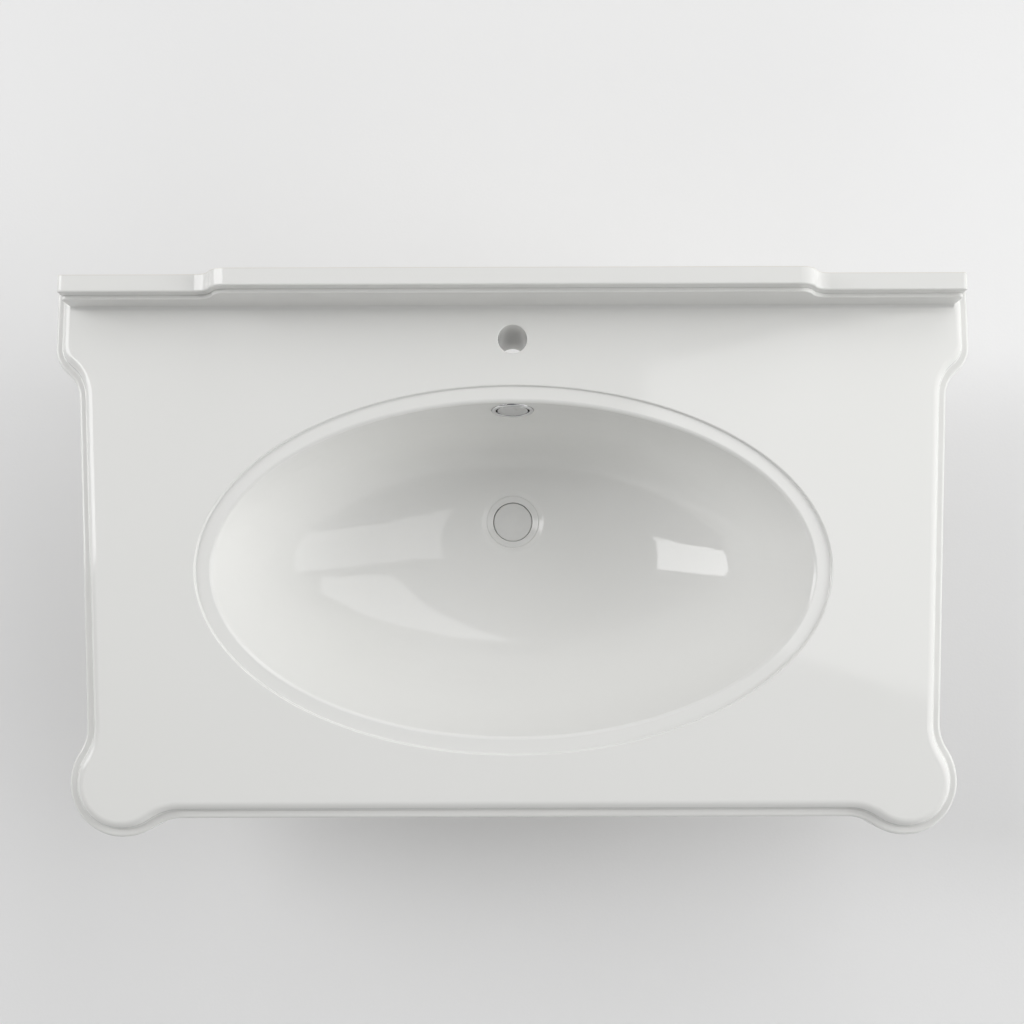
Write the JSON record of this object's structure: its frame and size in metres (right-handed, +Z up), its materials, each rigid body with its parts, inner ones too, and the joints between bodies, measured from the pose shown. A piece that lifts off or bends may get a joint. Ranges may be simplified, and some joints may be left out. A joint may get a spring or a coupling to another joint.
{
  "type": "vanity basin",
  "caption": "White glazed ceramic vanity basin with an oval bowl, a moulded edge, rounded front corners, a stepped raised back, one tap hole and a push-to-open waste.",
  "frame": {"origin": "on the centre line of the back face, which meets the wall, at the height of the deck surface", "axes": "+X along the width, -Y towards the front, +Z up"},
  "size_m": [1, 0.587, 0.3464],
  "materials": {
    "ceramic": "high gloss white glaze",
    "white_enamel": "gloss white enamel on brass",
    "chrome": "polished chrome plate",
    "brass": "machined brass",
    "steel": "drawn stainless wire",
    "rubber": "matt black rubber",
    "soft_plastic": "soft translucent plastic",
    "hard_plastic": "matt white plastic"
  },
  "bodies": {
    "basin_body": {"basin": "ceramic", "overflow_ring": "chrome", "overflow_sleeve": "soft_plastic", "overflow_disc": "chrome", "waste_flange": "white_enamel", "flange_seal": "soft_plastic", "waste_tail": "brass", "tail_gasket": "rubber", "tail_washer": "hard_plastic", "waste_nut": "brass", "click_housing": "hard_plastic", "click_spring": "steel"},
    "plug": {"plug_cap": "white_enamel", "plug_seal": "rubber", "click_plunger": "brass"}
  },
  "joints": [
    {"name": "plug_lift", "type": "slide", "parent": "basin_body", "child": "plug", "axis": [0, 0, 1], "range_m": [0, 0.008], "deforming": ["click_spring"]}
  ]
}
